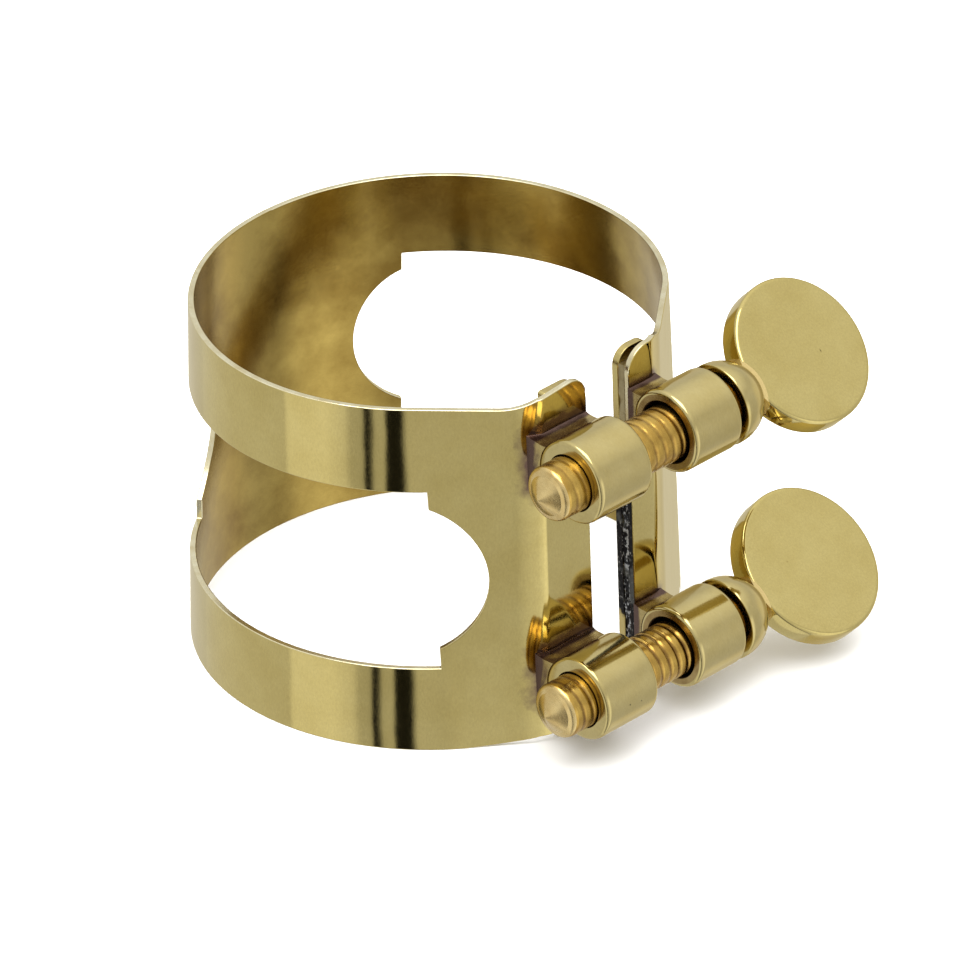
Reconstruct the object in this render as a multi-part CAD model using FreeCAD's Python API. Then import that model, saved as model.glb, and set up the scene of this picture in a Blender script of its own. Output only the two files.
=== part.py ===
import FreeCAD, Part
import math
import os

# Saxophone ligature, millimetres. +Z is the axis of the mouthpiece it clamps,
# the origin is on that axis in the plane of the bottom rim, the gap faces -Y
# and both screws run along X with their thumb discs towards +X.

# Band
R_BOTTOM = 14.9          # outer radius of the bottom rim
R_TOP = 13.95            # outer radius of the top rim
HEIGHT = 22.22
SHEET = 0.38             # sheet thickness
HOOP_LOW_TOP = 5.4       # top edge of the lower hoop
HOOP_UP_LOW = 16.9       # lower edge of the upper hoop

# Windows, as angles from the gap: the step half way up, and the rounded end
FRONT_THREADED = (43.85, 32.0)
FRONT_PLAIN = (62.0, 49.9)
BACK = (144.55, 156.3)
STEP_LEAN = 2.0          # lean of the steps: the top edge is the shorter one
WINDOW_END_R = 4.95      # radius of the rounded ends

# Flanges and rails, with the band at rest
FLANGE_Y = 14.65         # outer face of the flanges
THREADED_EDGE = 1.62     # edge of the threaded side's flange, from x = 0
PLAIN_EDGE = 1.77
THREADED_CORNER = 5.6    # where the flange's plane meets the side's plane
PLAIN_CORNER = 4.1
BEND_R = 1.0             # outer radius of the bend at that corner
PLAIN_WEB = (40.0, 8.0)  # turn of the plain side's flat web, radius behind it
TAB_RISE = 0.73          # how far the flange tops stand over the rim
THREADED_TAB = (1.5, -0.28, 0.51, 1.15)  # x where the rise starts, x and height
PLAIN_TAB = (2.0, 0.1, 0.73, 1.6)        # at the corner, radius at the gap
FOOT_RISE = 0.38         # and their lower ends over the bottom rim
RAIL = (0.5, 22.62)               # thickness, height of its top
THREADED_RAIL = (2.8, 0.19)       # width, thickness of the solder under it
PLAIN_RAIL = (2.5, 0.49)

# Barrels and screws
BARREL_R = 2.55
THREADED_BARREL = (-5.95, 4.08)  # start in x, length
PLAIN_BARREL = (1.7, 3.74)
BARREL_Z = {"upper": 18.9, "lower": 4.44}
BARREL_Y = 17.7                  # distance of the screws' axes along -Y
PLAIN_OUT = -0.07                # plain barrels stand this far out of line
SOLDER_FOOT = 1.5                # reach of the barrel solder on the flange
SOLDER_TURN = 38.0               # and round the barrel, in degrees
SHANK_R = 1.68
BORE_THREADED = SHANK_R + 0.03
BORE_PLAIN = SHANK_R + 0.22
TIP_X = -7.85                    # where the tip's cone starts
TIP_LENGTH = 0.72
COLLAR_X = 5.88                  # flat face of the collar
COLLAR_R = 2.5
COLLAR_RIM = 0.25                # straight part before the dome
DISC_THICKNESS = 1.65
DISC_R = {"upper": (4.6, 4.4), "lower": (4.75, 4.5)}   # across, along
DISC_X = {"upper": 12.35, "lower": 12.8}
DISC_OUT = 0.35                  # a disc's middle plane, off the screw's axis
DISC_SIDE = 0.45                 # its centre, off that axis in its own plane
DISC_TILT = {"upper": 45.0, "lower": 47.0}   # its normal, up from -Y
BRAZE = 0.22                     # reach of the braze round a disc's root

X_AXIS = FreeCAD.Vector(1, 0, 0)
Z_AXIS = FreeCAD.Vector(0, 0, 1)
OVERSIZE = 40.0                  # larger than the whole part


def vec(x, y, z=0.0):
    return FreeCAD.Vector(x, y, z)


def radius_at(z):
    return R_BOTTOM + (R_TOP - R_BOTTOM) * z / HEIGHT


def mirrored(shape):
    return shape.mirror(vec(0, 0), X_AXIS)


def box(x0, x1, y0, y1, z0, z1):
    return Part.makeBox(x1 - x0, y1 - y0, z1 - z0, vec(x0, y0, z0))


def rod(x0, length, y, z, radius):
    return Part.makeCylinder(radius, length, vec(x0, y, z), X_AXIS)


def side_turns(radius, corner, web):
    """How one side of the band runs from its corner to its round part.

    Returns the turn of the flat beside the corner, the turn where the round
    part starts, and the radius between them. The flat is tangent to the round
    part, unless web gives its turn and the radius that joins them.
    """
    if web is None:
        turn = math.atan2(corner, FLANGE_Y)
        turn += math.acos(radius / math.hypot(corner, FLANGE_Y))
        return turn, turn, 0.0
    turn, join_r = math.radians(web[0]), web[1]
    offset = corner * math.sin(turn) + FLANGE_Y * math.cos(turn)
    extra = math.acos((offset - join_r) / (radius - join_r))
    return turn, turn + extra, join_r


def band_section(z, side, edge, corner, web):
    """Closed outline of one half of the band at height z.

    side is -1 for the half towards -X and 1 for the other. The flange lies in
    one plane and meets the flat beside it at x = corner with a round bend.
    """
    radius = radius_at(z)
    turn, round_turn, join_r = side_turns(radius, corner, web)
    bend_x = corner - BEND_R * math.tan(turn / 2)

    def arc(centre, reach, start, end):
        x, y = centre
        points = [vec(side * (x + reach * math.sin(value)),
                      y - reach * math.cos(value), z)
                  for value in (start, (start + end) / 2, end)]
        return points[0], points[2], Part.Arc(*points).toShape()

    def run(depth):
        """Edges of one face, from the back of the band to the gap."""
        start, end, round_part = arc((0, 0), radius - depth, math.pi, round_turn)
        edges = [round_part]
        if join_r:
            shift = radius - join_r
            centre = (shift * math.sin(round_turn), -shift * math.cos(round_turn))
            start, end, join = arc(centre, join_r - depth, round_turn, turn)
            edges.append(join)
        start, flat_start, bend = arc((bend_x, BEND_R - FLANGE_Y),
                                      BEND_R - depth, turn, 0.0)
        return edges + [
            Part.makeLine(end, start), bend,
            Part.makeLine(flat_start, vec(side * edge, depth - FLANGE_Y, z))]

    gap_end = Part.makeLine(vec(side * edge, -FLANGE_Y, z),
                            vec(side * edge, SHEET - FLANGE_Y, z))
    back_end = Part.makeLine(vec(0, radius - SHEET, z), vec(0, radius, z))
    edges = run(0.0) + [gap_end] + run(SHEET) + [back_end]
    return Part.Wire(Part.__sortEdges__(edges))


def window(front):
    """Cutter for a window on the -X side: leaning steps, rounded ends."""
    middle = (HOOP_LOW_TOP + HOOP_UP_LOW) / 2
    lean = math.tan(math.radians(STEP_LEAN))

    def outline(z):
        points = []
        for angle, reach, side in ((front[0], R_TOP / 2, 1),
                                   (front[0], OVERSIZE, 1),
                                   (90.0, OVERSIZE, 0),
                                   (BACK[0], OVERSIZE, -1),
                                   (BACK[0], R_TOP / 2, -1)):
            turn = math.radians(angle)
            shift = side * lean * (z - middle)
            points.append(vec(-reach * math.sin(turn) - shift * math.cos(turn),
                              -reach * math.cos(turn) + shift * math.sin(turn), z))
        return Part.makePolygon(points + points[:1])

    cutter = Part.makeLoft([outline(HOOP_LOW_TOP), outline(HOOP_UP_LOW)],
                           True, True)
    end_turn = math.degrees(WINDOW_END_R / radius_at(HEIGHT / 2))
    for angle in (front[1] + end_turn, BACK[1] - end_turn):
        turn = math.radians(angle)
        outward = vec(-math.sin(turn), -math.cos(turn))
        cutter = cutter.fuse(Part.makeCylinder(
            WINDOW_END_R, OVERSIZE, vec(0, 0, middle), outward))
    return cutter


def rounded_corner(x, z, radius, x_side, z_side):
    """Cutter that rounds a corner of a sheet facing Y."""
    x0, x1 = sorted((x, x - x_side * radius))
    z0, z1 = sorted((z, z - z_side * radius))
    block = box(x0, x1, -OVERSIZE, -R_TOP / 2, z0, z1)
    round_part = Part.makeCylinder(
        radius, OVERSIZE, vec(x - x_side * radius, -OVERSIZE,
                              z - z_side * radius), vec(0, 1, 0))
    return block.cut(round_part)


def band_half(side, edge, corner, front, tab, web=None):
    top = HEIGHT + TAB_RISE
    half = Part.makeLoft([band_section(z, side, edge, corner, web)
                          for z in (0.0, top)], True, True)

    def trim(*outline):
        """Cutter over the front of the band with an outline in x and z."""
        points = [vec(side * x, -OVERSIZE, z) for x, z in outline]
        face = Part.Face(Part.makePolygon(points + points[:1]))
        return face.extrude(vec(0, OVERSIZE))

    rim = trim((OVERSIZE, HEIGHT), (corner + tab[0], HEIGHT),
               (corner + tab[1], HEIGHT + tab[2]), (edge + 1.2, top),
               (edge + 1.2, top + 1), (OVERSIZE, top + 1))
    foot = trim((corner + 3.4, 0), (corner + 1.6, FOOT_RISE / 2),
                (corner + 0.2, FOOT_RISE), (0, FOOT_RISE), (0, -1),
                (corner + 3.4, -1))
    return half.cut([
        rim, foot,
        rounded_corner(side * edge, top, tab[3], -side, 1),
        rounded_corner(side * edge, FOOT_RISE, 0.7, -side, -1),
        box(-OVERSIZE, OVERSIZE, 0, OVERSIZE, HEIGHT, top + 1),
        window(front) if side < 0 else mirrored(window(front))])


def rail(edge, corner, width, solder):
    """Reed rail and the solder behind it, against a flange on the -X side."""
    thickness, height = RAIL
    inset = 0.15
    solder_y = -FLANGE_Y + SHEET
    rail_y = solder_y + solder
    strip = box(-edge - width, -edge, rail_y, rail_y + thickness,
                FOOT_RISE, height)
    strip = strip.cut([rounded_corner(-edge, height, 1.1, 1, 1),
                       rounded_corner(-edge - width, height, 0.2, -1, 1)])
    far = min(edge + width - inset, corner - BEND_R / 2)
    seam = box(-far, -edge - inset, solder_y, rail_y,
               FOOT_RISE + inset, HEIGHT - 0.37)
    return strip, seam


def barrel(level, start, length, bore, out=0.0):
    """Barrel with chamfered rims, lying along X."""
    place = (-BARREL_Y - out, BARREL_Z[level])
    body = rod(start, length, *place, BARREL_R)
    body = body.makeChamfer(0.12, [e for e in body.Edges if e.Closed])
    return body.cut(rod(start - 1, length + 2, *place, bore))


def barrel_solder(level, start, length, out=0.0):
    """Solder that fills the space between a barrel and its flange."""
    y = -BARREL_Y - out
    z = BARREL_Z[level]
    turn = math.radians(SOLDER_TURN)
    on_barrel_y = y + BARREL_R * math.cos(turn)
    on_barrel_z = BARREL_R * math.sin(turn)
    face = Part.Face(Part.makePolygon([
        vec(start, -FLANGE_Y, z - SOLDER_FOOT),
        vec(start, on_barrel_y, z - on_barrel_z),
        vec(start, on_barrel_y, z + on_barrel_z),
        vec(start, -FLANGE_Y, z + SOLDER_FOOT),
        vec(start, -FLANGE_Y, z - SOLDER_FOOT)]))
    body = face.extrude(vec(length, 0))
    return body.cut(rod(start - 1, length + 2, y, z, BARREL_R))


def dome(level, radius):
    """Half ball that closes the collar, towards +X."""
    centre = vec(COLLAR_X + COLLAR_RIM, -BARREL_Y, BARREL_Z[level])
    return Part.makeSphere(radius, centre, X_AXIS, 0, 90, 360)


def screw(level):
    """Turned thumb screw: cone point, threaded shank and domed collar."""
    y, z = -BARREL_Y, BARREL_Z[level]
    tip = Part.makeCone(0.1, SHANK_R, TIP_LENGTH,
                        vec(TIP_X - TIP_LENGTH, y, z), X_AXIS)
    shank = rod(TIP_X, COLLAR_X - TIP_X, y, z, SHANK_R)
    collar = rod(COLLAR_X, COLLAR_RIM, y, z, COLLAR_R)
    return tip.fuse([shank, collar, dome(level, COLLAR_R)]).removeSplitter()


def disc_blank(level, extra=0.0):
    """Flat, slightly oval disc whose plane runs along the screw's axis."""
    tilt = math.radians(DISC_TILT[level])
    normal = vec(0, -math.cos(tilt), math.sin(tilt))
    across = vec(0, math.sin(tilt), math.cos(tilt))
    centre = vec(DISC_X[level], -BARREL_Y, BARREL_Z[level])
    half = DISC_THICKNESS / 2 + extra
    base = centre + normal * (DISC_OUT - half) + across * DISC_SIDE
    wide, narrow = [radius + extra for radius in DISC_R[level]]
    outline = Part.Ellipse(base + across * wide, base + X_AXIS * narrow, base)
    blank = Part.Face(Part.Wire(outline.toShape())).extrude(normal * 2 * half)
    if extra:
        return blank
    return blank.makeFillet(0.18, [e for e in blank.Edges if e.Closed])


def thumb_disc(level):
    return disc_blank(level).cut(dome(level, COLLAR_R))


def disc_braze(level):
    """Bead of braze round the root of the disc, on the dome."""
    bead = disc_blank(level, BRAZE).common(dome(level, COLLAR_R + BRAZE))
    return bead.cut([dome(level, COLLAR_R), disc_blank(level)])


def main():
    nodes = {
        "band_threaded_half": band_half(
            -1, THREADED_EDGE, THREADED_CORNER, FRONT_THREADED,
            THREADED_TAB),
        "band_plain_half": band_half(
            1, PLAIN_EDGE, PLAIN_CORNER, FRONT_PLAIN, PLAIN_TAB,
            PLAIN_WEB),
    }
    strip, seam = rail(THREADED_EDGE, THREADED_CORNER, *THREADED_RAIL)
    nodes["threaded_side_rail"] = strip
    nodes["threaded_rail_solder"] = seam
    strip, seam = rail(PLAIN_EDGE, PLAIN_CORNER, *PLAIN_RAIL)
    nodes["plain_side_rail"] = mirrored(strip)
    nodes["plain_rail_solder"] = mirrored(seam)
    for level in BARREL_Z:
        nodes[level + "_threaded_barrel"] = barrel(
            level, *THREADED_BARREL, BORE_THREADED)
        nodes[level + "_threaded_solder"] = barrel_solder(
            level, -THREADED_CORNER, THREADED_CORNER - THREADED_EDGE)
        nodes[level + "_plain_barrel"] = barrel(
            level, *PLAIN_BARREL, BORE_PLAIN, PLAIN_OUT)
        nodes[level + "_plain_solder"] = barrel_solder(
            level, PLAIN_EDGE, PLAIN_CORNER - PLAIN_EDGE, PLAIN_OUT)
        nodes[level + "_screw"] = screw(level)
        nodes[level + "_thumb_disc"] = thumb_disc(level)
        nodes[level + "_disc_braze"] = disc_braze(level)
    os.makedirs("parts", exist_ok=True)
    for name, shape in nodes.items():
        print(name, len(shape.Solids), "solid(s), valid:", shape.isValid())
        shape.Solids[0].exportStep("parts/" + name + ".step")


main()
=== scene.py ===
"""Looks of a saxophone ligature: sheet-brass band, rails, barrels and two thumb screws."""

import math

import bpy
import numpy as np
from mathutils import Matrix, Vector, noise


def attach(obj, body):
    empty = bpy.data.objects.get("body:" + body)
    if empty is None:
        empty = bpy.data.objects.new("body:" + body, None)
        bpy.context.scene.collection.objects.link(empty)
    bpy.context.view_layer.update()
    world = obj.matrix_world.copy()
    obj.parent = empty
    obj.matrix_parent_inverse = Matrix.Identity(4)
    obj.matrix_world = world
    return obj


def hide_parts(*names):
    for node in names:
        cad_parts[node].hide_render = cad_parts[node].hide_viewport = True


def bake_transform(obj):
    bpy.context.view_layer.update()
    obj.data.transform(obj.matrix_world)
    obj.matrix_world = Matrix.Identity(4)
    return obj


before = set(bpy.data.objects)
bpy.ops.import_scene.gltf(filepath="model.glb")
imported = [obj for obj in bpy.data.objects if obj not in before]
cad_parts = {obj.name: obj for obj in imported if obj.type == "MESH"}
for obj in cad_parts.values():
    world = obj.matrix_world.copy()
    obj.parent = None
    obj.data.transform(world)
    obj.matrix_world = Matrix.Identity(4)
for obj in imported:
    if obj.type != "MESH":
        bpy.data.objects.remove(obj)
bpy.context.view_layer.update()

MM = 0.001
LATHE_SEGMENTS = 96

# Driving sizes of the design, in millimetres. +Z is the mouthpiece axis, the gap
# faces -Y, the thumb discs are towards +X.
R_BOTTOM = 14.9
R_TOP = 13.95
HEIGHT = 22.22
SHEET = 0.38
HOOP_LOW_TOP = 5.4
HOOP_UP_LOW = 16.9
BACK = (144.55, 156.3)
STEP_LEAN = 2.0
WINDOW_END_R = 4.95
FLANGE_Y = 14.65
TAB_RISE = 0.73
FOOT_RISE = 0.38
RAIL = (0.5, 22.62)
BARREL_R = 2.55
BARREL_Y = 17.7
BARREL_Z = {"upper": 18.9, "lower": 4.44}
SHANK_R = 1.68
PITCH = 0.7
THREAD = {"upper": (0.035, 0.3), "lower": (0.065, 0.42)}  # depth, and the painted shade in its grooves
GROOVE_SHARE = 0.33      # half width of a groove, as a share of the pitch
SHOULDER_R = 0.4         # rounding where the cone meets the shank
RUN_OUT = 0.4            # length over which the thread fades at each end
TIP_X = -7.85
TIP_LENGTH = 0.72
COLLAR_X = 5.88
COLLAR_R = 2.5
COLLAR_RIM = 0.25
DISC_THICKNESS = 1.65
DISC_R = {"upper": (4.6, 4.4), "lower": (4.75, 4.5)}
DISC_X = {"upper": 12.35, "lower": 12.8}
DISC_OUT = 0.35
DISC_SIDE = 0.45
DISC_TILT = {"upper": 45.0, "lower": 47.0}
SOLDER_FOOT = 1.5
SOLDER_TURN = 38.0
STAIN_AND_REFLECTION_BACK_Y = -13.6     # the heat stain and the painted dark reflection lie in front of this plane
SEAT_DEPTH = 0.25        # depth of solder that follows the bend of the sheet
HEIGHT_LIT = 11          # height the lights face

SKIN_POINTS = 140        # points of a section from the gap to the web's far part

# Outer radius of the tight and the soft part of each bend, and the share of the
# turn that is tight.
THREADED_BEND = (0.6, 5.0, 0.55)
PLAIN_BEND = (1.4, 8.0, 0.68)

# Each side of the band: x direction, flange edge, corner of the flange, window
# front (step and rounded end), turn of its flat web and radius behind it, rail
# width and solder under it, barrel start and length, bore, offset of the barrel,
# bend, and the top of the flange: x from the corner where it starts to rise, x
# and height at the corner, radius at the gap. far_corner is the rail's radius
# on the side away from the gap, and the last entry how far the solder's heat
# stain spreads; on the threaded side it also paints a dark reflection on the bend.
THREADED = dict(side=-1, edge=1.62, corner=5.6, front=(43.85, 32.0), web=None,
                rail=(2.8, 0.19), barrel=(-5.95, 4.08), bore=SHANK_R + 0.03,
                out=0.0, bend=THREADED_BEND,
                tab=(1.5, -0.28, 0.51, 1.15), far_corner=0.2, stain_and_reflection_reach=1.9)
PLAIN = dict(side=1, edge=1.77, corner=4.1, front=(62.0, 49.9), web=(40.0, 8.0),
             rail=(2.5, 0.49), barrel=(1.7, 3.74), bore=SHANK_R + 0.22,
             out=-0.07, bend=PLAIN_BEND,
             tab=(2.0, 0.1, 0.73, 1.6), far_corner=0.8, stain_and_reflection_reach=1.1)


# ---------------------------------------------------------------- materials

def node_material(name):
    material = bpy.data.materials.new(name)
    material.use_nodes = True
    tree = material.node_tree
    return material, tree, tree.nodes["Principled BSDF"]


def add(tree, kind, **inputs):
    """New node with its sockets set: a value, or another node's output."""
    node = tree.nodes.new(kind)
    for key, value in inputs.items():
        socket = node.inputs[key.replace("_", " ")]
        if isinstance(value, bpy.types.NodeSocket):
            tree.links.new(value, socket)
        else:
            socket.default_value = value
    return node


def coordinates(tree, scale=(1, 1, 1)):
    """Object coordinates in millimetres, stretched by scale."""
    place = tree.nodes.new("ShaderNodeTexCoord")
    mapping = tree.nodes.new("ShaderNodeMapping")
    mapping.inputs["Scale"].default_value = [1000 * s for s in scale]
    tree.links.new(place.outputs["Object"], mapping.inputs["Vector"])
    return mapping.outputs["Vector"]


def noise_field(tree, vector, scale, detail=4.0, roughness=0.55):
    field = add(tree, "ShaderNodeTexNoise", Vector=vector, Scale=scale,
                Detail=detail, Roughness=roughness)
    return field.outputs["Fac"]


def ramp(tree, fac, *stops):
    """Colour ramp with (position, colour or grey) stops."""
    node = tree.nodes.new("ShaderNodeValToRGB")
    elements = node.color_ramp.elements
    while len(elements) < len(stops):
        elements.new(0.5)
    for element, (position, colour) in zip(elements, stops):
        element.position = position
        if not isinstance(colour, tuple):
            colour = (colour,) * 3
        element.color = (*colour, 1.0)
    tree.links.new(fac, node.inputs["Fac"])
    return node.outputs["Color"]


def mix(tree, fac, first, second, blend="MIX"):
    node = tree.nodes.new("ShaderNodeMix")
    node.data_type = "RGBA"
    node.blend_type = blend
    for socket, value in ((node.inputs[0], fac), (node.inputs[6], first),
                          (node.inputs[7], second)):
        if isinstance(value, bpy.types.NodeSocket):
            tree.links.new(value, socket)
        elif isinstance(value, tuple):
            socket.default_value = (*value, 1.0)
        else:
            socket.default_value = value
    return node.outputs[2]


def bump(tree, shader, height, distance, strength=1.0):
    """Adds relief of a height in millimetres on top of what is there."""
    node = add(tree, "ShaderNodeBump", Height=height, Strength=strength,
               Distance=distance * MM)
    old = shader.inputs["Normal"]
    if old.is_linked:
        tree.links.new(old.links[0].from_socket, node.inputs["Normal"])
    tree.links.new(node.outputs["Normal"], old)


def metal(name, light, dark, gloss, patch=0.35, grain=(1, 1, 1), grain_size=9.0,
          relief=0.004, swell=0.02, stain_shade_and_reflection=None):
    """Metal whose colour, gloss and relief all vary over the surface.

    light and dark are its colours, gloss its lowest and highest roughness, patch
    the scale of the cloudy variation per mm, grain the stretch of the fine lines.
    """
    material, tree, shader = node_material(name)
    shader.inputs["Metallic"].default_value = 1.0
    clouds = noise_field(tree, coordinates(tree), patch, 5.0, 0.6)
    lines = noise_field(tree, coordinates(tree, grain), grain_size, 6.0, 0.65)
    colour = mix(tree, ramp(tree, clouds, (0.35, 0.0), (0.68, 1.0)), light, dark)
    speckle = ramp(tree, lines, (0.3, 0.86), (0.7, 1.0))
    colour = mix(tree, 1.0, colour, speckle, "MULTIPLY")
    # Per-point dark colour: a heat stain on the band, painted shade in the thread's
    # grooves and at the solder's foot, and a painted dark reflection beside the threaded
    # side's solder.
    if stain_shade_and_reflection is not None:
        mark = add(tree, "ShaderNodeAttribute")
        mark.attribute_name = "stain_shade_and_reflection"
        ragged = add(tree, "ShaderNodeMath")
        ragged.operation = "MULTIPLY_ADD"
        tree.links.new(mark.outputs["Fac"], ragged.inputs[0])
        ragged.inputs[1].default_value = 1.5
        spread = ramp(tree, noise_field(tree, coordinates(tree), 1.6, 4.0),
                      (0.3, 0.0), (0.7, 0.35))
        tree.links.new(spread, ragged.inputs[2])
        cover = ramp(tree, ragged.outputs[0], (0.35, 0.0), (1.25, 1.0))
        colour = mix(tree, cover, colour, stain_shade_and_reflection)
    tree.links.new(colour, shader.inputs["Base Color"])
    rough = ramp(tree, lines, (0.25, gloss[0]), (0.8, gloss[1]))
    tree.links.new(rough, shader.inputs["Roughness"])
    bump(tree, shader, noise_field(tree, coordinates(tree), 0.16, 2.0), swell)
    bump(tree, shader, lines, relief)
    return material


def edge_dirt(material, colours, limit, span):
    """Flux and solder dirt on the faces of the gap, between two heights."""
    tree = material.node_tree
    shader = tree.nodes["Principled BSDF"]
    place = tree.nodes.new("ShaderNodeTexCoord")
    split = add(tree, "ShaderNodeSeparateXYZ", Vector=place.outputs["Object"])
    rough = noise_field(tree, coordinates(tree, (1, 1, 0.7)), 0.9, 5.0, 0.7)

    def compare(value, threshold, operation):
        node = add(tree, "ShaderNodeMath")
        node.operation = operation
        tree.links.new(value, node.inputs[0])
        if isinstance(threshold, float):
            node.inputs[1].default_value = threshold
        else:
            tree.links.new(threshold, node.inputs[1])
        return node.outputs[0]

    near = compare(split.outputs["X"], limit * MM, "LESS_THAN")
    right = compare(split.outputs["X"], 0.0, "GREATER_THAN")
    front = compare(split.outputs["Y"], -12.0 * MM, "LESS_THAN")
    height = add(tree, "ShaderNodeMapRange", Value=split.outputs["Z"])
    height.inputs["From Max"].default_value = HEIGHT * MM
    low, high = [z / HEIGHT for z in span]
    part = ramp(tree, height.outputs[0], (low - 0.05, 0.0), (low + 0.03, 1.0),
                (high - 0.03, 1.0), (high + 0.05, 0.0))
    ragged = compare(part, rough, "MULTIPLY")
    cover = ramp(tree, ragged, (0.26, 0.0), (0.34, 1.0))
    for mask in (near, right, front):
        cover = compare(cover, mask, "MULTIPLY")
    specks = ramp(tree, noise_field(tree, coordinates(tree, (1, 1, 0.6)), 4.5,
                                    4.0, 0.7), (0.52, colours[0]),
                  (0.60, colours[1]), (0.66, (0.4, 0.4, 0.38)))
    grey = ramp(tree, noise_field(tree, coordinates(tree), 0.45, 3.0, 0.7),
                (0.56, 0.0), (0.62, 0.6))
    specks = mix(tree, grey, specks, (0.15, 0.155, 0.145))
    base = shader.inputs["Base Color"]
    old = base.links[0].from_socket
    tree.links.new(mix(tree, cover, old, specks), base)
    gloss = shader.inputs["Roughness"]
    old = gloss.links[0].from_socket
    tree.links.new(mix(tree, cover, old, (0.45, 0.45, 0.45)), gloss)


BRASS = (0.640, 0.525, 0.205)
BRASS_DEEP = (0.585, 0.470, 0.170)
BLACK_FLUX = (0.010, 0.009, 0.009)
TIN = (0.55, 0.56, 0.56)
# The dark stain colour of polished brass is the solder's heat stain. On the threaded side
# it is also a painted dark reflection on the flange and the bend.
polished = metal("polished_brass", BRASS, BRASS_DEEP, (0.045, 0.10),
                 grain=(1, 1, 0.5), relief=0.0006, swell=0.04,
                 stain_shade_and_reflection=(0.16, 0.10, 0.075))
# Inner face: duller brass whose colours are darkened as painted shade inside the ring.
inner_and_shade = metal("inner_brass_and_painted_shade", (0.47, 0.34, 0.09), (0.26, 0.165, 0.035),
               (0.13, 0.24), patch=0.22, grain=(0.6, 0.6, 2.4), relief=0.002,
               swell=0.08, stain_shade_and_reflection=(0.10, 0.06, 0.04))
# Cut edges: raw brass, lightened to a pale cream as a painted highlight along the rims.
cut_edge_and_highlight = metal("cut_edge_brass_and_painted_highlight", (0.86, 0.80, 0.56), (0.72, 0.62, 0.36),
            (0.12, 0.30), patch=0.9, grain=(3, 3, 1), relief=0.002)
filed = metal("filed_brass", BRASS, (0.50, 0.38, 0.15), (0.14, 0.30),
              grain=(5, 1, 0.3), grain_size=2.0, relief=0.012, swell=0.03)
turned = metal("turned_brass", (0.61, 0.505, 0.225), (0.54, 0.43, 0.165),
               (0.08, 0.17), grain=(8, 1, 1), grain_size=4.0, relief=0.0015)
# Bores: near black, as painted shade inside the holes.
bore = metal("bore_painted_shade", (0.10, 0.055, 0.02), (0.02, 0.011, 0.005),
             (0.35, 0.6), patch=0.8, grain=(6, 1, 1), relief=0.004)
# The thread's dark stain colour is painted shade, laid into its grooves.
thread_brass = metal("thread_brass", (0.60, 0.395, 0.095), (0.45, 0.265, 0.055),
                     (0.16, 0.34), patch=0.8, grain=(4, 1, 1), grain_size=3.0,
                     relief=0.004, stain_shade_and_reflection=(0.17, 0.085, 0.028))
tip_brass = metal("tip_brass", (0.78, 0.60, 0.27), (0.62, 0.44, 0.17),
                  (0.20, 0.34), patch=1.1, grain=(5, 1, 1), grain_size=3.0,
                  relief=0.003)
# The solder's dark stain colour is painted shade where the solder meets the sheet.
solder = metal("dull_solder", (0.56, 0.45, 0.19), (0.34, 0.24, 0.09),
               (0.16, 0.36), patch=0.9, grain_size=4.0, relief=0.012,
               stain_shade_and_reflection=(0.12, 0.075, 0.06))
seam_solder = metal("seam_solder", (0.50, 0.43, 0.24), (0.30, 0.24, 0.13),
                    (0.25, 0.45), patch=0.8, grain_size=5.0, relief=0.02)
# Darker brass for the plain barrels' end faces towards the gap, as a painted dark
# reflection.
end_face_reflection = metal("end_face_painted_reflection", (0.42, 0.30, 0.12), (0.28, 0.18, 0.06),
                  (0.16, 0.30), patch=0.9, grain=(1, 5, 5), relief=0.003)


def mark(material, place, reach, colour):
    """Small coloured speck at a place, with its half size along each axis."""
    tree = material.node_tree
    shader = tree.nodes["Principled BSDF"]
    vector = tree.nodes.new("ShaderNodeMapping")
    vector.vector_type = "TEXTURE"
    vector.inputs["Location"].default_value = [MM * c for c in place]
    vector.inputs["Scale"].default_value = [MM * r for r in reach]
    source = tree.nodes.new("ShaderNodeTexCoord")
    tree.links.new(source.outputs["Object"], vector.inputs["Vector"])
    distance = add(tree, "ShaderNodeVectorMath")
    distance.operation = "LENGTH"
    tree.links.new(vector.outputs["Vector"], distance.inputs[0])
    ragged = noise_field(tree, coordinates(tree), 5.0, 3.0)
    total = add(tree, "ShaderNodeMath")
    total.operation = "ADD"
    tree.links.new(distance.outputs["Value"], total.inputs[0])
    tree.links.new(ragged, total.inputs[1])
    cover = ramp(tree, total.outputs[0], (0.6, 0.8), (1.0, 0.0))
    base = shader.inputs["Base Color"]
    tree.links.new(mix(tree, cover, base.links[0].from_socket, colour), base)


edge_dirt(filed, (BLACK_FLUX, (0.05, 0.045, 0.04)), PLAIN["edge"] + 0.06,
          (5.0, 18.0))
for place, reach in (((-4.2, -20.25, 4.4), 0.13), ((-3.3, -20.24, 4.26), 0.1)):
    mark(turned, place, (reach, reach, reach), (0.05, 0.035, 0.015))
mark(polished, (13.4, -18.6, 19.66), (0.09, 0.4, 0.4), (0.10, 0.07, 0.02))
mark(polished, (11.25, -17.73, 6.02), (0.2, 0.15, 0.15), (0.38, 0.29, 0.09))
edge_dirt(seam_solder, (BLACK_FLUX, TIN), PLAIN["edge"] + 3.0, (0.5, 18.2))
edge_dirt(cut_edge_and_highlight, (BLACK_FLUX, (0.05, 0.045, 0.04)), PLAIN["edge"] + 0.06,
          (1.0, 17.4))


# ------------------------------------------------------------------- meshes

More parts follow.
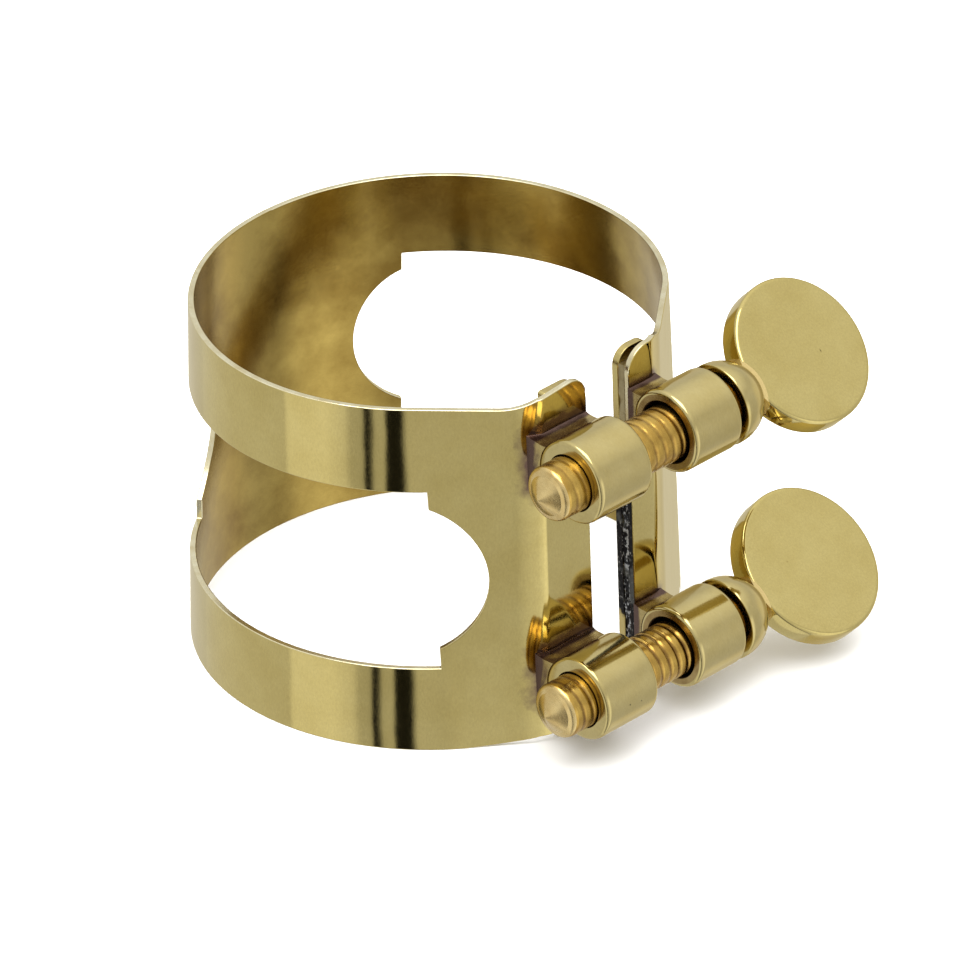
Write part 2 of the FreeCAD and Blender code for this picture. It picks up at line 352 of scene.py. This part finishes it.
def make_object(name, points, faces, materials):
    """Object at the origin from points in millimetres."""
    mesh = bpy.data.meshes.new(name)
    mesh.from_pydata([tuple(MM * c for c in p) for p in points], [], faces)
    mesh.validate()
    for material in materials:
        mesh.materials.append(material)
    mesh.polygons.foreach_set("use_smooth", [True] * len(mesh.polygons))
    obj = bpy.data.objects.new(name, mesh)
    bpy.context.scene.collection.objects.link(obj)
    return obj


def bevel(obj, width, segments=3, angle=40.0):
    modifier = obj.modifiers.new("edges", "BEVEL")
    modifier.width = width * MM
    modifier.segments = segments
    modifier.limit_method = "ANGLE"
    modifier.angle_limit = math.radians(angle)
    modifier.use_clamp_overlap = False
    modifier.harden_normals = True


def smooth_join(obj, angle=45.0):
    """Keeps shading smooth except over edges sharper than angle."""
    obj.data.set_sharp_from_angle(angle=math.radians(angle))


def finish_piece(obj, body, slot, *nodes):
    if nodes:
        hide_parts(*nodes)
    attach(obj, body)


def grid_faces(rows, columns, wrap=False):
    faces = []
    for i in range(rows - 1):
        for j in range(columns if wrap else columns - 1):
            k = (j + 1) % columns
            faces.append((i * columns + j, i * columns + k,
                          (i + 1) * columns + k, (i + 1) * columns + j))
    return faces


# --------------------------------------------------------------------- band

def section(z, part):
    """Outer face of one half of the band at height z, seen from above.

    Returns points from the gap to the back, with x counted outwards.
    """
    radius = R_BOTTOM + (R_TOP - R_BOTTOM) * z / HEIGHT
    corner = part["corner"]
    if part["web"] is None:
        turn = math.atan2(corner, FLANGE_Y)
        turn += math.acos(radius / math.hypot(corner, FLANGE_Y))
        round_turn, join_r = turn, 0.0
    else:
        turn, join_r = math.radians(part["web"][0]), part["web"][1]
        offset = corner * math.sin(turn) + FLANGE_Y * math.cos(turn)
        round_turn = turn + math.acos((offset - join_r) / (radius - join_r))
    tight_r, soft_r, share = part["bend"]
    mid = share * turn
    rise = tight_r * (1 - math.cos(mid))
    rise += soft_r * (math.cos(mid) - math.cos(turn))
    run = tight_r * math.sin(mid) + soft_r * (math.sin(turn) - math.sin(mid))
    bend_x = corner - run + rise / math.tan(turn)
    shift = radius - join_r

    def arc(x, y, reach, start, end, count):
        turns = np.linspace(start, end, count)
        return np.stack([x + reach * np.sin(turns), y - reach * np.cos(turns)], 1)

    flat = np.linspace((part["edge"], -FLANGE_Y), (bend_x, -FLANGE_Y), 40)
    tight = arc(bend_x, tight_r - FLANGE_Y, tight_r, 0, mid, 24)
    soft_x = tight[-1][0] - soft_r * math.sin(mid)
    soft_y = tight[-1][1] + soft_r * math.cos(mid)
    soft = arc(soft_x, soft_y, soft_r, mid, turn, 24)
    join = arc(shift * math.sin(round_turn), -shift * math.cos(round_turn),
               join_r, turn, round_turn, 60)
    web = np.linspace(soft[-1], join[0], 60)
    back = arc(0, 0, radius, round_turn, math.pi, 500)
    runs = [flat, tight[1:], soft[1:], web[1:], back[1:]]
    if join_r:
        runs.insert(4, join[1:])
    return np.concatenate(runs)


def top_and_bottom(x, part):
    """Upper and lower edge of the sheet at a distance x from the middle."""
    edge, corner = part["edge"], part["corner"]
    reach, bend_x, bend_z, gap_r = part["tab"]
    if x > corner + bend_x:
        share = max(0.0, (corner + reach - x) / (reach - bend_x))
        rise = bend_z * share ** 1.6
    else:
        rise = np.interp(x, [edge + 1.2, corner + bend_x], [TAB_RISE, bend_z])
    foot = np.interp(x, [corner + 0.2, corner + 1.6, corner + 3.4],
                     [1.0, 0.5, 0.0])
    top = HEIGHT + rise
    low = FOOT_RISE * foot
    along = x - edge
    if along < gap_r:
        top -= gap_r - math.sqrt(max(0.0, gap_r ** 2 - (gap_r - along) ** 2))
    if along < 0.7:
        low += 0.7 - math.sqrt(max(0.0, 0.7 ** 2 - (0.7 - along) ** 2))
    return low, top


def surface(part):
    """Function from angles and heights on one half of the band to its points.

    The angles are degrees from the gap. Returns outer and inner points.
    """
    heights = np.linspace(-0.5, HEIGHT + 1.5, 49)
    rows = []
    for curve in [section(z, part) for z in heights]:
        rows.append((np.degrees(np.arctan2(curve[:, 0], -curve[:, 1])),
                     np.hypot(curve[:, 0], curve[:, 1])))

    def plan(angles, z):
        radii = np.array([np.interp(angles, *row) for row in rows])
        place = (z - heights[0]) / (heights[1] - heights[0])
        low = place.astype(int)
        share = place - low
        index = np.arange(len(angles))
        radius = radii[low, index] * (1 - share) + radii[low + 1, index] * share
        turn = np.radians(angles)
        return radius[:, None] * np.stack([np.sin(turn), -np.cos(turn)], 1)

    def points(angles, z):
        here = plan(angles, z)
        step = (plan(np.minimum(angles + 0.05, 180.0), z)
                - plan(np.maximum(angles - 0.05, rows[0][0][0]), z))
        normal = np.stack([-step[:, 1], step[:, 0]], 1)
        normal /= np.linalg.norm(normal, axis=1)[:, None]
        normal *= np.sign((normal * here).sum(1))[:, None]
        return [np.column_stack([part["side"] * xy[:, 0], xy[:, 1], z])
                for xy in (here, here - SHEET * normal)]

    return points


def window_end(step, centre, toward, turns, rows):
    """Mesh patch around a rounded end of a window, as angles and heights.

    step is the angle of the step at half height, centre that of the round end,
    toward -1 if the end faces the gap. The patch reaches from the outline to a
    border that fits the hoops' columns and the rows of the web.
    """
    middle_r = (R_BOTTOM + R_TOP) / 2
    half = (HOOP_UP_LOW - HOOP_LOW_TOP) / 2
    middle = HOOP_LOW_TOP + half
    lean = -toward * math.degrees(math.tan(math.radians(STEP_LEAN)) / middle_r)
    limits = []
    for up in (-1, 1):
        turn = math.pi / 3
        for _ in range(30):
            rise = up * WINDOW_END_R * math.sin(turn)
            away = math.radians(toward * (step + lean * rise - centre))
            turn = math.acos(middle_r * math.sin(away) / WINDOW_END_R)
        limits.append(up * turn)
    border_turn = centre + toward * (math.degrees(math.asin(
        WINDOW_END_R / middle_r)) + 2.0)
    ends = [step + up * lean * half for up in (-1, 1)]
    below = np.linspace(ends[0], border_turn, turns)
    above = np.linspace(border_turn, ends[1], turns)
    border = [(angle, HOOP_LOW_TOP) for angle in below[:-1]]
    border += [(border_turn, z) for z in rows]
    border += [(angle, HOOP_UP_LOW) for angle in above[1:]]
    outline = []
    for turn in np.linspace(*limits, len(border)):
        reach = math.degrees(math.asin(WINDOW_END_R * math.cos(turn) / middle_r))
        outline.append((centre + toward * reach,
                        middle + WINDOW_END_R * math.sin(turn)))
    layers = [(1 - t) * np.array(outline) + t * np.array(border)
              for t in np.linspace(0, 1, 4)]
    return np.array(layers), below, above


def band_patches(part):
    """Grids of angle and height that tile one half of the band."""
    end_turn = math.degrees(WINDOW_END_R / ((R_BOTTOM + R_TOP) / 2))
    rows = np.linspace(HOOP_LOW_TOP, HOOP_UP_LOW, 19)
    front, front_low, front_up = window_end(
        part["front"][0], part["front"][1] + end_turn, -1, 16, rows)
    back, back_low, back_up = window_end(
        BACK[0], BACK[1] - end_turn, 1, 16, rows)
    start = math.degrees(math.atan2(part["edge"], FLANGE_Y))
    corner = math.degrees(math.atan2(part["corner"], FLANGE_Y))
    round_off = math.degrees(part["tab"][3] / FLANGE_Y)
    gap = [start + round_off * (1 - math.cos(t))
           for t in np.linspace(0, math.pi / 2, 12)]
    while gap[-1] < front_low[-1] - 0.5:
        gap.append(gap[-1] + (0.22 if abs(gap[-1] - corner) < 2.5 else 0.6))
    gap[-1] = front_low[-1]
    rest = np.linspace(back_low[-1], 180.0, 30)
    patches = [front, back]
    for run in (gap, rest):
        patches.append(np.stack(np.meshgrid(run, rows), 2))
    plan = surface(part)
    for first, last, hoop in ((front_low[::-1], back_low, 0),
                              (front_up, back_up[::-1], 1)):
        middle = np.linspace(first[-1], last[0], 110)
        angles = np.concatenate([gap, first[1:], middle[1:], last[1:], rest[1:]])
        level = plan(angles, np.full(len(angles), HEIGHT / 2))[0]
        columns = []
        for angle, point in zip(angles, level):
            x = abs(point[0]) if angle < 90 else R_TOP
            low, top = top_and_bottom(max(x, part["edge"]), part)
            limits = (HOOP_UP_LOW, top) if hoop else (low, HOOP_LOW_TOP)
            columns.append([(angle, z) for z in np.linspace(*limits, 11)])
        patches.append(np.array(columns))
    return patches


def band_half(part):
    """Mesh of one half of the band: outer and inner points, and faces."""
    plan = surface(part)
    outer_all, inner_all, faces_all = [], [], []
    start = 0
    for patch in band_patches(part):
        rows, columns = patch.shape[:2]
        outer, inner = plan(*patch.reshape(-1, 2).T)
        faces = grid_faces(rows, columns)
        a, b, c = outer[list(faces[len(faces) // 2][:3])]
        if np.cross(b - a, c - b) @ (a * (1, 1, 0)) < 0:
            faces = [face[::-1] for face in faces]
        outer_all.append(outer)
        inner_all.append(inner)
        faces_all += [tuple(v + start for v in face) for face in faces]
        start += len(outer)
    return np.concatenate(outer_all), np.concatenate(inner_all), faces_all


def merge(points, faces, gap=0.004):
    """Welds points that coincide; returns the kept points and new faces."""
    keys, kept, index = {}, [], []
    for point in points:
        key = tuple(np.round(point / gap).astype(int))
        if key not in keys:
            keys[key] = len(kept)
            kept.append(point)
        index.append(keys[key])
    new_faces = []
    for face in faces:
        loop = []
        for vertex in face:
            if not loop or index[vertex] != loop[-1]:
                loop.append(index[vertex])
        if loop[0] == loop[-1]:
            loop.pop()
        if len(loop) > 2:
            new_faces.append(tuple(loop))
    return np.array(kept), new_faces, index


def band():
    outer_all, inner_all, faces_all = [], [], []
    start = 0
    for part in (THREADED, PLAIN):
        outer, inner, faces = band_half(part)
        outer_all.append(outer)
        inner_all.append(inner)
        faces_all += [tuple(v + start for v in face) for face in faces]
        start += len(outer)
    outer = np.concatenate(outer_all)
    inner = np.concatenate(inner_all)
    outer, faces, index = merge(outer, faces_all)
    kept_inner = np.zeros_like(outer)
    kept_inner[index] = inner
    count = len(outer)
    edges = {}
    for face in faces:
        for a, b in zip(face, face[1:] + face[:1]):
            edges.setdefault((min(a, b), max(a, b)), []).append((a, b))
    walls = [(b, a, a + count, b + count)
             for used in edges.values() if len(used) == 1 for a, b in used]
    inner_faces = [tuple(v + count for v in reversed(face)) for face in faces]
    points = np.concatenate([outer, kept_inner])
    obj = make_object("band", points, faces + inner_faces + walls,
                      [polished, inner_and_shade, cut_edge_and_highlight])
    kinds = [0] * len(faces) + [1] * len(inner_faces) + [2] * len(walls)
    obj.data.polygons.foreach_set("material_index", kinds)
    # Heat stain near the solder, and a painted dark reflection on the threaded side.
    stain_shade_and_reflection = obj.data.attributes.new("stain_shade_and_reflection", "FLOAT", "POINT")
    stain_shade_and_reflection.data.foreach_set("value", [solder_stain_and_reflection(p) for p in points])
    bevel(obj, 0.07)
    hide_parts("band_threaded_half", "band_plain_half")
    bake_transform(obj)
    return obj


def solder_stain_and_reflection(point):
    """Heat stain on the flanges next to the barrels' solder, 0 to 1; on the threaded side
    it also paints a dark reflection beside the solder and on the bend.
    """
    x, y, z = point
    if y > STAIN_AND_REFLECTION_BACK_Y:
        return 0.0
    part = THREADED if x < 0 else PLAIN
    reach = part["stain_and_reflection_reach"]
    side = max(0.0, abs(x) - part["corner"] + 0.4)
    marks = []
    for height in BARREL_Z.values():
        away = max(0.0, abs(z - height) - SOLDER_FOOT)
        marks.append(max(0.0, 1 - math.hypot(away, side) / reach))
    return max(marks) ** 1.5


band()


# -------------------------------------------------------------------- rails

def rail(part, name, body):
    """Upright strip whose top corner at the gap is well rounded."""
    thickness, height = RAIL
    width, seam = part["rail"]
    y0 = -FLANGE_Y + SHEET + seam
    far_r = part["far_corner"]
    outline = [(0.0, FOOT_RISE), (width, FOOT_RISE)]
    for radius, centre_x, start in ((far_r, width - far_r, 0.0),
                                    (1.1, 1.1, math.pi / 2)):
        for t in np.linspace(start, start + math.pi / 2, 9):
            outline.append((centre_x + radius * math.cos(t),
                            height - radius + radius * math.sin(t)))
    front = [(part["side"] * (part["edge"] + x), y0, z) for x, z in outline]
    back = [(x, y0 + thickness, z) for x, _, z in front]
    count = len(front)
    faces = [tuple(range(count)), tuple(reversed(range(count, 2 * count)))]
    faces += [(i, i + count, (i + 1) % count + count, (i + 1) % count)
              for i in range(count)]
    if part["side"] < 0:
        faces = [tuple(reversed(f)) for f in faces]
    obj = make_object(name, front + back, faces, [filed])
    smooth_join(obj)
    bevel(obj, 0.05)
    finish_piece(obj, body, "polished_brass", name)


def lumpy_strip(name, span, outline, axis, spacing, swell, material, seed):
    """Bar of solder along an axis with a closed outline and lumpy sides.

    Its dark share grows towards the flanges, as painted shade where the barrels' solder
    meets the sheet.
    """
    count = max(2, int((span[1] - span[0]) / spacing))
    centre = np.mean(outline, axis=0)
    points = []
    for t in np.linspace(*span, count):
        for u, v in outline:
            away = np.array([u, v]) - centre
            away /= np.linalg.norm(away)
            lump = noise.noise(Vector((t * 1.3 + seed, u * 1.7, v * 1.7)))
            u2, v2 = np.array([u, v]) + away * swell * lump
            points.append((t, u2, v2) if axis == "x" else (u2, v2, t))
    width = len(outline)
    faces = grid_faces(count, width, wrap=True)
    faces += [tuple(reversed(range(width))),
              tuple(range((count - 1) * width, count * width))]
    obj = make_object(name, points, faces, [material])
    # Painted shade on the solder, growing towards the flange.
    stain_shade_and_reflection = obj.data.attributes.new("stain_shade_and_reflection", "FLOAT", "POINT")
    depth = [min(1.0, max(0.0, (FLANGE_Y + 0.4 + y) / 0.3))
             for _, y, _ in points]
    stain_shade_and_reflection.data.foreach_set("value", depth)
    smooth_join(obj, 50)
    return obj


def dense(outline, step):
    """Closed outline with extra points every step along its sides."""
    points = []
    for (u0, v0), (u1, v1) in zip(outline, outline[1:] + outline[:1]):
        pieces = max(1, int(math.hypot(u1 - u0, v1 - v0) / step))
        points += [(u0 + (u1 - u0) * i / pieces, v0 + (v1 - v0) * i / pieces)
                   for i in range(pieces)]
    return points


def rail_solder(part, name, body):
    width, seam = part["rail"]
    y0 = -FLANGE_Y + SHEET
    x0 = part["side"] * (part["edge"] + 0.06)
    far = min(part["edge"] + width - 0.15, part["corner"] - 0.5)
    x1 = part["side"] * far
    outline = dense([(x0, y0), (x1, y0), (x1, y0 + seam), (x0, y0 + seam)], 0.2)
    if part["side"] < 0:
        outline.reverse()
    obj = lumpy_strip(name, (FOOT_RISE + 0.15, HEIGHT - 0.37), outline, "z",
                      0.15, 0.09, seam_solder, 3.0)
    finish_piece(obj, body, "solder", name)


for part, body in ((THREADED, "threaded_side"), (PLAIN, "plain_side")):
    kind = body.split("_")[0]
    rail(part, kind + "_side_rail", body)
    rail_solder(part, kind + "_rail_solder", body)


# ------------------------------------------------------------------ barrels

def lathe(name, profile, centre, materials):
    """Turned piece along X from (x, radius) points, about a centre (y, z)."""
    y0, z0 = centre
    points = []
    for x, radius in profile:
        for i in range(LATHE_SEGMENTS):
            turn = 2 * math.pi * i / LATHE_SEGMENTS
            points.append((x, y0 + radius * math.cos(turn),
                           z0 + radius * math.sin(turn)))
    faces = grid_faces(len(profile), LATHE_SEGMENTS, wrap=True)
    return make_object(name, points, faces, materials)


def barrel(level, part, name, body):
    """Barrel with rounded rims and a bore with a broken edge."""
    start, length = part["barrel"]
    end = start + length
    hole, edge = part["bore"], 0.24
    profile = [(start, hole + 0.06)]
    for t in np.linspace(0, math.pi / 2, 5):
        profile.append((start + edge * (1 - math.cos(t)),
                        BARREL_R - edge + edge * math.sin(t)))
    profile += [(x, BARREL_R) for x in np.linspace(start + 0.3, end - 0.3, 10)]
    for t in np.linspace(0, math.pi / 2, 5):
        profile.append((end - edge + edge * math.sin(t),
                        BARREL_R - edge + edge * math.cos(t)))
    profile += [(end, hole + 0.06), (end - 0.06, hole)]
    profile += [(x, hole) for x in np.linspace(end - 0.4, start + 0.4, 8)]
    profile += [(start + 0.06, hole), (start, hole + 0.06)]
    # The bore takes painted shade, and the plain barrels' end face at the gap a painted
    # dark reflection.
    obj = lathe(name, profile, (-BARREL_Y - part["out"], BARREL_Z[level]),
                [turned, bore, end_face_reflection])
    first = len(profile) - 11
    for face in obj.data.polygons:
        ring = face.index // LATHE_SEGMENTS
        face.material_index = int(ring >= first)
        # Painted dark reflection on the plain barrel's end face at the gap.
        if ring == 0 and part["side"] > 0:
            face.material_index = 2
    smooth_join(obj, 30)
    finish_piece(obj, body, "polished_brass", name)


def seat_on_bend(obj, part, z):
    """Push the foot of the solder back to the sheet where the sheet bends away."""
    skin = section(z, part)[:SKIN_POINTS]
    for vertex in obj.data.vertices:
        x, y = vertex.co.x / MM, vertex.co.y / MM
        share = min(1.0, max(0.0, (y + FLANGE_Y + SEAT_DEPTH) / SEAT_DEPTH))
        back = np.interp(abs(x), skin[:, 0], skin[:, 1]) + FLANGE_Y
        vertex.co.y += MM * share * back


def barrel_solder(level, part, name, body):
    """Solder with concave flanks between a barrel and its flange."""
    y, z = -BARREL_Y - part["out"], BARREL_Z[level]
    reach = math.radians(SOLDER_TURN)
    outline = [(y + (BARREL_R - 0.03) * math.cos(t),
                z + (BARREL_R - 0.03) * math.sin(t))
               for t in np.linspace(-reach, reach, 13)]
    top = np.array(outline[-1])
    foot = np.array([-FLANGE_Y + 0.1, z + SOLDER_FOOT + 0.2])
    waist = np.array([-FLANGE_Y - 0.25, z + SOLDER_FOOT - 0.06])
    flank = [tuple((1 - t) ** 2 * top + 2 * t * (1 - t) * waist + t ** 2 * foot)
             for t in np.linspace(0, 1, 8)[1:]]
    outline += flank + [(u, 2 * z - v) for u, v in reversed(flank)]
    limits = [part["side"] * part["edge"], part["side"] * part["corner"]]
    if part["side"] < 0:
        limits[1] = part["barrel"][0] + 0.04
    obj = lumpy_strip(name, sorted(limits), outline[::-1], "x", 0.1, 0.05,
                      solder, 7.0 + z)
    seat_on_bend(obj, part, z)
    finish_piece(obj, body, "solder", name)


for level in BARREL_Z:
    for part, body in ((THREADED, "threaded_side"), (PLAIN, "plain_side")):
        kind = body.split("_")[0]
        barrel(level, part, f"{level}_{kind}_barrel", body)
        barrel_solder(level, part, f"{level}_{kind}_solder", body)


# ------------------------------------------------------------------- screws

def screw(level, body):
    """Threaded shank with its cone point, and the domed collar."""
    centre = (-BARREL_Y, BARREL_Z[level])
    segments = 72
    depth, shade = THREAD[level]
    point = [(TIP_X - TIP_LENGTH, 0.02), (TIP_X - TIP_LENGTH / 2, 0.66),
             (TIP_X - 0.1, 1.12), (TIP_X - 0.02, 1.22)]
    for t in np.linspace(0.4, math.pi / 2, 7):
        point.append((TIP_X + SHOULDER_R - SHOULDER_R * math.cos(t),
                      SHANK_R - SHOULDER_R + SHOULDER_R * math.sin(t)))
    xs = np.arange(TIP_X + 0.44, COLLAR_X, PITCH / 16)
    points, groove_shade = [], []
    for x, radius in point + [(x, SHANK_R) for x in xs]:
        start = min(1.0, max(0.0, (x - TIP_X) / RUN_OUT))
        end = min(1.0, max(0.0, (COLLAR_X - RUN_OUT - x) / RUN_OUT))
        for i in range(segments):
            angle = 2 * math.pi * i / segments
            phase = (x / PITCH - i / segments) % 1.0
            groove = max(0.0, 1 - abs(phase - 0.5) / GROOVE_SHARE)
            groove = 0.5 - 0.5 * math.cos(math.pi * groove)
            place = Vector((x * 0.9, math.cos(angle),
                            math.sin(angle) + centre[1]))
            wear = np.interp(x, (-6.5, -4.5), (0.5, 0.9))
            wear += 0.4 * noise.noise(place)
            cut = depth * start * end * groove * wear
            points.append((x, centre[0] + (radius - cut) * math.cos(angle),
                           centre[1] + (radius - cut) * math.sin(angle)))
            # Painted shade in the thread's grooves.
            groove_shade.append(shade * groove * start * end)
    faces = grid_faces(len(points) // segments, segments, wrap=True)
    faces.append(tuple(reversed(range(segments))))
    shank = make_object(level + "_screw_shank", points, faces,
                        [thread_brass, tip_brass])
    for face in shank.data.polygons:
        face.material_index = int(face.index < 8 * segments)
    stain_shade_and_reflection = shank.data.attributes.new("stain_shade_and_reflection", "FLOAT", "POINT")
    stain_shade_and_reflection.data.foreach_set("value", groove_shade)
    smooth_join(shank, 22)
    finish_piece(shank, body, "raw_brass", level + "_screw")
    dome_x = COLLAR_X + COLLAR_RIM
    profile = [(COLLAR_X, SHANK_R - 0.1), (COLLAR_X, COLLAR_R - 0.1)]
    profile += [(COLLAR_X + 0.03, COLLAR_R - 0.03), (COLLAR_X + 0.1, COLLAR_R)]
    for t in np.linspace(0, math.pi / 2, 28):
        profile.append((dome_x + COLLAR_R * math.sin(t),
                        max(0.001, COLLAR_R * math.cos(t))))
    collar = lathe(level + "_screw_collar", profile, centre, [turned])
    smooth_join(collar, 40)
    finish_piece(collar, body, "polished_brass")


def disc_frame(level):
    """Centre of a disc, its normal, and the direction across it."""
    tilt = math.radians(DISC_TILT[level])
    normal = Vector((0, -math.cos(tilt), math.sin(tilt)))
    across = Vector((0, math.sin(tilt), math.cos(tilt)))
    centre = Vector((DISC_X[level], -BARREL_Y, BARREL_Z[level]))
    return centre + normal * DISC_OUT + across * DISC_SIDE, normal, across


def disc(level, body):
    """Thumb disc: flat faces, slightly softened edges, not quite round."""
    centre, normal, across = disc_frame(level)
    wide, narrow = DISC_R[level]
    along = Vector((1, 0, 0))
    segments, soft = 128, 0.2
    half = DISC_THICKNESS / 2
    side = [(soft * (math.sin(t) - 1), half - soft * (1 - math.cos(t)))
            for t in np.linspace(0, math.pi / 2, 6)]
    points = []
    rings = [(share * 0.94, 0.0, half) for share in (0.004, 0.35, 0.7, 1.0)]
    rings += [(1.0, inset, height) for inset, height in side]
    rings += [(1.0, inset, -height) for inset, height in reversed(side)]
    rings += [(share * 0.94, 0.0, -half) for share in (1.0, 0.7, 0.35, 0.004)]
    for share, inset, height in rings:
        for i in range(segments):
            turn = 2 * math.pi * i / segments
            point = (centre
                     + across * (wide * share - 0.01 + inset) * math.cos(turn)
                     + along * (narrow * share - 0.01 + inset) * math.sin(turn)
                     + normal * height)
            points.append(tuple(point))
    faces = grid_faces(len(rings), segments, wrap=True)
    obj = make_object(level + "_thumb_disc", points, faces, [polished])
    smooth_join(obj, 50)
    finish_piece(obj, body, "polished_brass", level + "_thumb_disc")


for level in BARREL_Z:
    screw(level, level + "_screw_head")
    disc(level, level + "_screw_head")


# ------------------------------------------------------------------- studio

def studio_world():
    """Pale room with a bright ceiling and two dark stands, for reflections."""
    world = bpy.data.worlds.new("studio")
    bpy.context.scene.world = world
    world.use_nodes = True
    tree = world.node_tree
    place = tree.nodes.new("ShaderNodeTexCoord")
    split = add(tree, "ShaderNodeSeparateXYZ", Vector=place.outputs["Generated"])
    height = split.outputs["Z"]
    minus = []
    for axis in "XY":
        node = add(tree, "ShaderNodeMath")
        node.operation = "MULTIPLY"
        tree.links.new(split.outputs[axis], node.inputs[0])
        node.inputs[1].default_value = -1.0
        minus.append(node.outputs[0])
    angle = add(tree, "ShaderNodeMath")
    angle.operation = "ARCTAN2"
    tree.links.new(minus[0], angle.inputs[0])
    tree.links.new(minus[1], angle.inputs[1])
    turn = add(tree, "ShaderNodeMapRange")
    tree.links.new(angle.outputs[0], turn.inputs["Value"])
    turn.inputs["From Min"].default_value = -math.pi
    turn.inputs["From Max"].default_value = math.pi

    def at(degrees):
        return (degrees + 180) / 360

    warm, mild = (0.74, 0.67, 0.47), (0.98, 0.93, 0.78)
    walls = ramp(tree, turn.outputs[0],
                 (at(-180), 0.80), (at(-135), warm), (at(-112), warm),
                 (at(-95), mild), (at(-75), mild), (at(-60), 0.74),
                 (at(-42), 0.72), (at(-36), 0.8), (at(-28), 1.2),
                 (at(-10), 1.4), (at(4), 1.3), (at(14), 1.0), (at(30), 0.86),
                 (at(43), 0.69), (at(55.5), 0.72), (at(57), 0.015),
                 (at(65), 0.015), (at(66), 0.66), (at(71), 0.62),
                 (at(72), 0.015), (at(75), 0.015), (at(76), 0.60),
                 (at(82), 0.64), (at(84), 0.90), (at(94), 1.12),
                 (at(115), 1.08), (at(116.5), 0.77), (at(160), 0.84),
                 (at(180), 0.85))
    up = add(tree, "ShaderNodeMapRange")
    tree.links.new(height, up.inputs["Value"])
    up.inputs["From Min"].default_value = -1.0
    light = ramp(tree, up.outputs[0], (0.0, 0.9), (0.45, 0.98), (0.56, 1.0),
                 (0.72, 1.0), (0.86, 1.36), (1.0, 1.6))
    ceiling = ramp(tree, up.outputs[0], (0.52, 0.0), (0.66, 1.0))
    plain = mix(tree, ceiling, walls, (0.78, 0.78, 0.78))
    final = mix(tree, 1.0, plain, light, "MULTIPLY")
    background = tree.nodes["Background"]
    tree.links.new(final, background.inputs["Color"])
    background.inputs["Strength"].default_value = 1.0


def floor():
    size = 600.0
    points = [(-size, -size, 0), (size, -size, 0), (size, size, 0),
              (-size, size, 0)]
    obj = make_object("floor", points, [(0, 1, 2, 3)], [])
    material, tree, shader = node_material("pale_floor")
    clouds = noise_field(tree, coordinates(tree), 0.02, 3.0)
    tree.links.new(ramp(tree, clouds, (0.3, 0.93), (0.7, 0.95)),
                   shader.inputs["Base Color"])
    shader.inputs["Roughness"].default_value = 0.9
    obj.data.materials.append(material)
    obj.visible_glossy = False


def softbox(name, location, size, power, mirrored=True):
    """Square light that faces the middle of the object."""
    light = bpy.data.lights.new(name, "AREA")
    light.shape = "RECTANGLE"
    light.size, light.size_y = [MM * s for s in size]
    light.energy = power
    obj = bpy.data.objects.new(name, light)
    bpy.context.scene.collection.objects.link(obj)
    obj.visible_glossy = mirrored
    place = Vector(location) * MM
    obj.location = place
    aim = Vector((0, 0, HEIGHT_LIT)) * MM - place
    obj.rotation_mode = "QUATERNION"
    obj.rotation_quaternion = aim.to_track_quat("-Z", "Y")


def camera():
    """Long lens above the front left, as the object is pictured."""
    azimuth, elevation, roll = [math.radians(v) for v in (-42.83, 30.92, -2.17)]
    distance, lens = 491.4, 309.58
    aim = Vector((0, 0, 11.75))
    back = Vector((math.sin(azimuth) * math.cos(elevation),
                   -math.cos(azimuth) * math.cos(elevation),
                   math.sin(elevation)))
    right = Vector((math.cos(azimuth), math.sin(azimuth), 0))
    up = back.cross(right)
    right, up = (right * math.cos(roll) + up * math.sin(roll),
                 up * math.cos(roll) - right * math.sin(roll))
    data = bpy.data.cameras.new("camera")
    data.sensor_width = 36.0
    data.lens = lens
    data.clip_start, data.clip_end = 0.01, 5.0
    obj = bpy.data.objects.new("camera", data)
    bpy.context.scene.collection.objects.link(obj)
    place = aim + back * distance + right * 3.12 - up * 2.59
    rotation = Matrix((right, up, back)).transposed().to_4x4()
    obj.matrix_world = Matrix.Translation(place * MM) @ rotation
    bpy.context.scene.camera = obj


studio_world()
floor()
softbox("overhead", (-60, -40, 320), (260, 260), 0.7)
softbox("fill", (0, 0, 420), (900, 900), 5.0, mirrored=False)
camera()
bpy.context.scene.view_settings.view_transform = "Standard"
